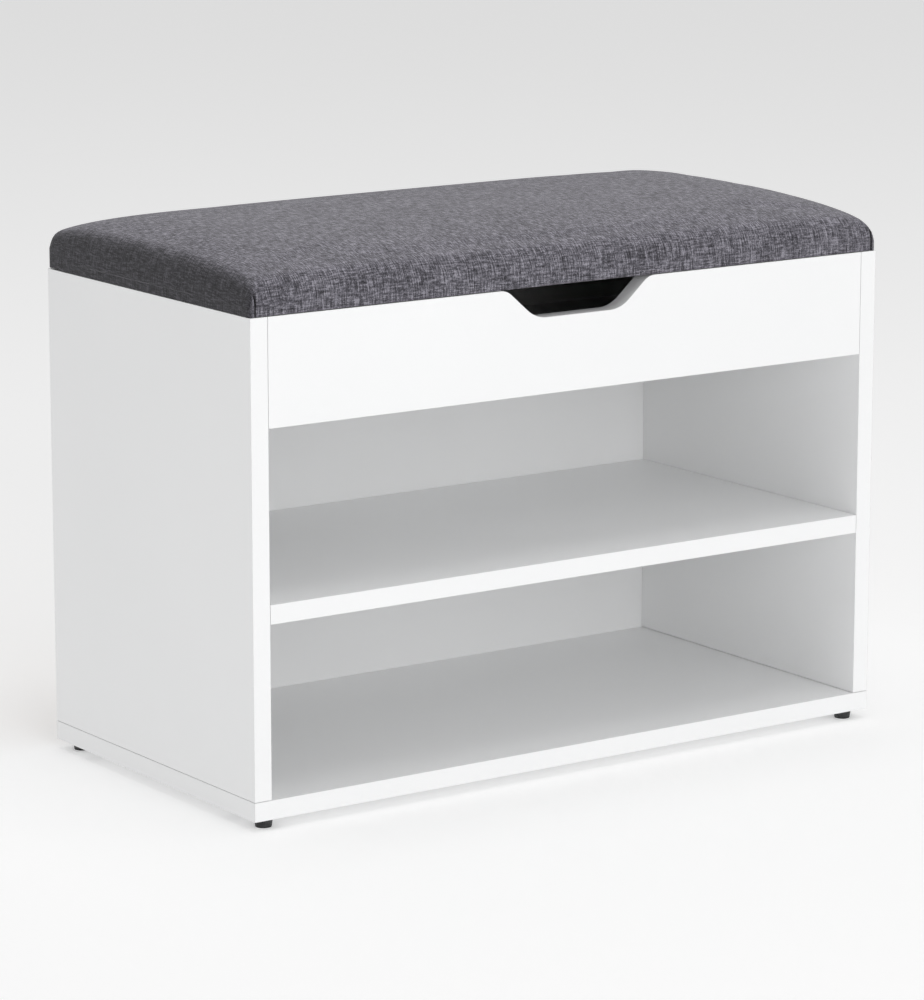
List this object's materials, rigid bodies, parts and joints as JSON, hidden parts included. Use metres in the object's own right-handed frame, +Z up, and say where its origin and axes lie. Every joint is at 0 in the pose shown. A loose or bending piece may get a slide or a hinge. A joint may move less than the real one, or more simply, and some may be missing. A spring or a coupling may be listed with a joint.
{
  "type": "entryway bench",
  "caption": "Low shoe bench: white cabinet with two open bays under a padded fabric seat that lifts on rear hinges over a hidden compartment.",
  "frame": {"origin": "on the floor below the middle of the bench's bounding box", "axes": "+Z up, the open front faces -Y, +X towards the right side as seen from the front"},
  "size_m": [0.6, 0.3061, 0.4405],
  "materials": {
    "white_laminate": "white melamine on chipboard, satin",
    "white_hardboard": "white painted hardboard",
    "raw_chipboard": "raw chipboard",
    "foam": "polyurethane foam",
    "grey_fabric": "dark grey woven melange",
    "black_fleece": "non-woven lining",
    "zinc_steel": "zinc plated",
    "black_plastic": "moulded",
    "black_rubber": "soft pad",
    "beech": "fluted beech"
  },
  "bodies": {
    "cabinet": {"base_panel": "white_laminate", "left_side_panel": "white_laminate", "right_side_panel": "white_laminate", "shelf": "white_laminate", "compartment_floor": "white_laminate", "front_rail": "white_laminate", "rear_rail": "white_laminate", "back_panel": "white_hardboard", "left_hinge_cabinet_leaf": "zinc_steel", "right_hinge_cabinet_leaf": "zinc_steel", "left_hinge_pin": "zinc_steel", "right_hinge_pin": "zinc_steel", "cabinet_hinge_screws": "zinc_steel", "front_left_foot": "black_plastic", "front_right_foot": "black_plastic", "rear_left_foot": "black_plastic", "rear_right_foot": "black_plastic", "foot_nails": "zinc_steel", "dowels": "beech", "cam_bolts": "zinc_steel", "cam_locks": "zinc_steel", "base_screws": "zinc_steel", "lid_bumpers": "black_rubber"},
    "seat": {"seat_board": "raw_chipboard", "seat_foam": "foam", "seat_cover": "grey_fabric", "dust_cover": "black_fleece", "cover_staples": "zinc_steel", "left_hinge_lid_leaf": "zinc_steel", "right_hinge_lid_leaf": "zinc_steel", "lid_hinge_screws": "zinc_steel"}
  },
  "joints": [
    {"name": "seat_hinge", "type": "hinge", "parent": "cabinet", "child": "seat", "pos_m": [0, 0.15025, 0.39215], "axis": [-1, 0, 0], "range_deg": [0, 85]}
  ]
}
